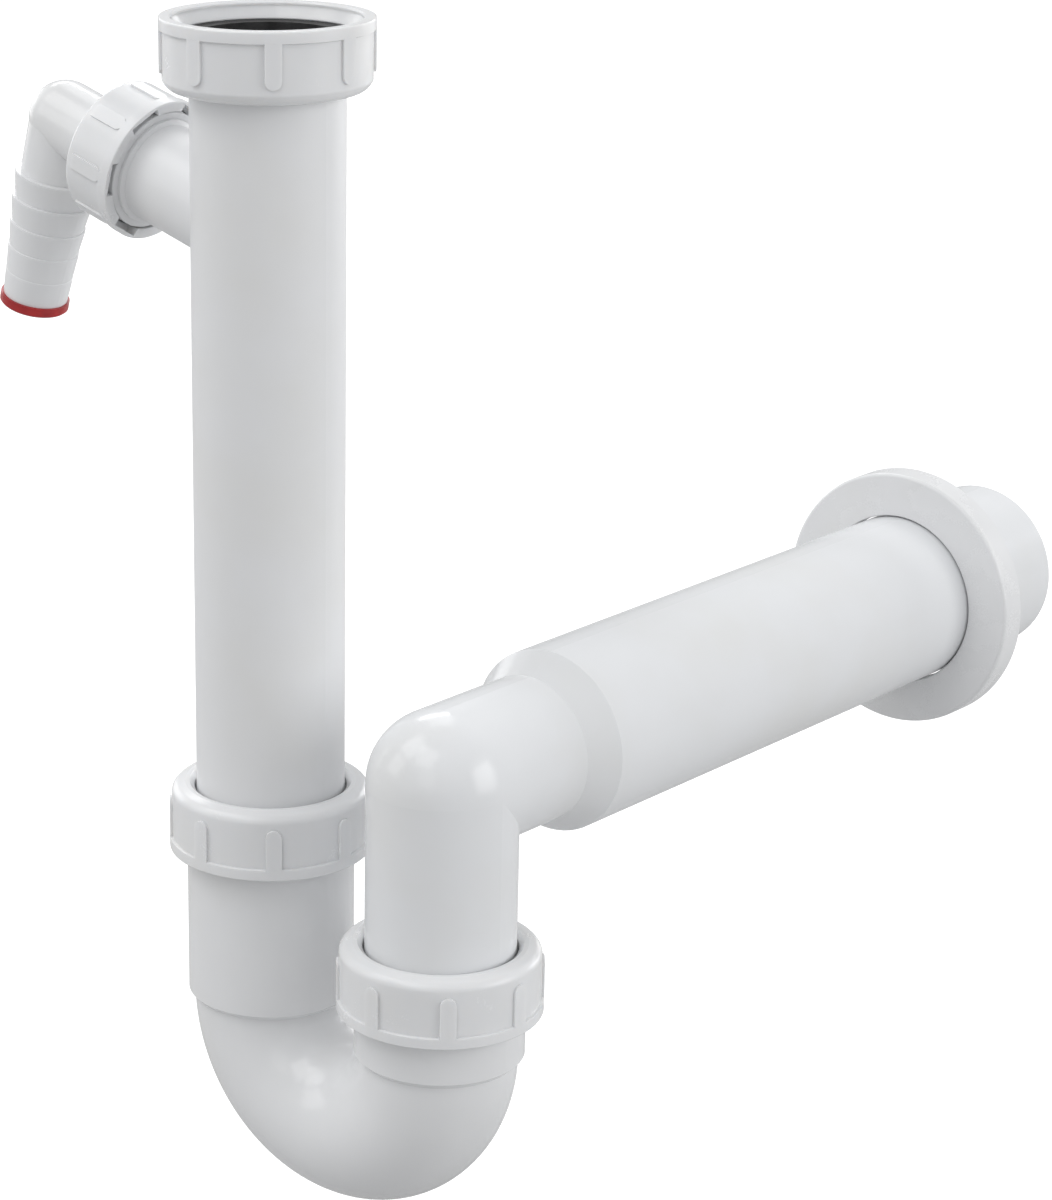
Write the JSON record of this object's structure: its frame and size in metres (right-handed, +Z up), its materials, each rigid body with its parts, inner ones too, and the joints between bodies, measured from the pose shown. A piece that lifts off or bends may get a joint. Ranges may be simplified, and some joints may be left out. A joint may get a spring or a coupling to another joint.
{
  "type": "sink p trap",
  "caption": "Tubular P trap for a sink: tall inlet tube with a tilted hose branch, U-bend with slip-nut sockets, elbow into a wider wall pipe with a rosette.",
  "frame": {"origin": "centre of the waste gasket's top face, on the inlet axis", "axes": "+Z up along the inlet tube, +Y along the outlet pipe towards the wall, +X from the inlet leg to the outlet leg"},
  "size_m": [0.1971, 0.283, 0.3165],
  "materials": {
    "white_plastic": "satin white polypropylene",
    "black_rubber": "matt black rubber",
    "grey_seal": "soft grey seal",
    "red_plastic": "satin red plastic"
  },
  "bodies": {
    "inlet": {"inlet_tube": "white_plastic", "inlet_gasket": "black_rubber"},
    "inlet_union_nut": {"inlet_union_nut": "white_plastic"},
    "inlet_seal": {"inlet_seal": "grey_seal"},
    "trap_body": {"trap_body": "white_plastic"},
    "inlet_slip_nut": {"inlet_slip_nut": "white_plastic"},
    "outlet_slip_nut": {"outlet_slip_nut": "white_plastic"},
    "outlet_seal": {"outlet_seal": "grey_seal"},
    "outlet_elbow": {"outlet_elbow": "white_plastic"},
    "wall_rosette": {"wall_rosette": "white_plastic"},
    "hose_union_nut": {"hose_union_nut": "white_plastic"},
    "hose_elbow": {"hose_elbow": "white_plastic", "hose_washer": "black_rubber"},
    "hose_cap": {"hose_cap": "red_plastic"}
  },
  "joints": [
    {"name": "inlet_union_nut_turn", "type": "hinge", "parent": "inlet", "child": "inlet_union_nut", "pos_m": [0, 0, -0.005], "axis": [0, 0, 1], "continuous": true},
    {"name": "trap_height", "type": "slide", "parent": "inlet", "child": "inlet_seal", "axis": [0, 0, 1], "range_m": [-0.022, 0.018]},
    {"name": "trap_swivel", "type": "hinge", "parent": "inlet_seal", "child": "trap_body", "pos_m": [0, 0, -0.205], "axis": [0, 0, 1], "continuous": true},
    {"name": "inlet_slip_nut_turn", "type": "hinge", "parent": "trap_body", "child": "inlet_slip_nut", "pos_m": [0, 0, -0.21], "axis": [0, 0, 1], "continuous": true},
    {"name": "outlet_slip_nut_turn", "type": "hinge", "parent": "trap_body", "child": "outlet_slip_nut", "pos_m": [0.061, 0, -0.24], "axis": [0, 0, 1], "continuous": true},
    {"name": "outlet_swivel", "type": "hinge", "parent": "trap_body", "child": "outlet_seal", "pos_m": [0.061, 0, -0.235], "axis": [0, 0, 1], "range_deg": [-210, 30]},
    {"name": "outlet_height", "type": "slide", "parent": "outlet_seal", "child": "outlet_elbow", "axis": [0, 0, 1], "range_m": [-0.006, 0.01]},
    {"name": "rosette_slide", "type": "slide", "parent": "outlet_elbow", "child": "wall_rosette", "axis": [0, 1, 0], "range_m": [-0.135, 0.036]},
    {"name": "hose_nut_turn", "type": "hinge", "parent": "inlet", "child": "hose_union_nut", "pos_m": [-0.04336, 0, -0.03897], "axis": [-0.9636, 0, 0.2672], "continuous": true},
    {"name": "hose_elbow_swivel", "type": "hinge", "parent": "inlet", "child": "hose_elbow", "pos_m": [-0.053, 0, -0.0363], "axis": [-0.9636, 0, 0.2672], "continuous": true},
    {"name": "hose_cap_pull", "type": "slide", "parent": "hose_elbow", "child": "hose_cap", "axis": [-0.2672, 0, -0.9636], "range_m": [0, 0.02]}
  ]
}
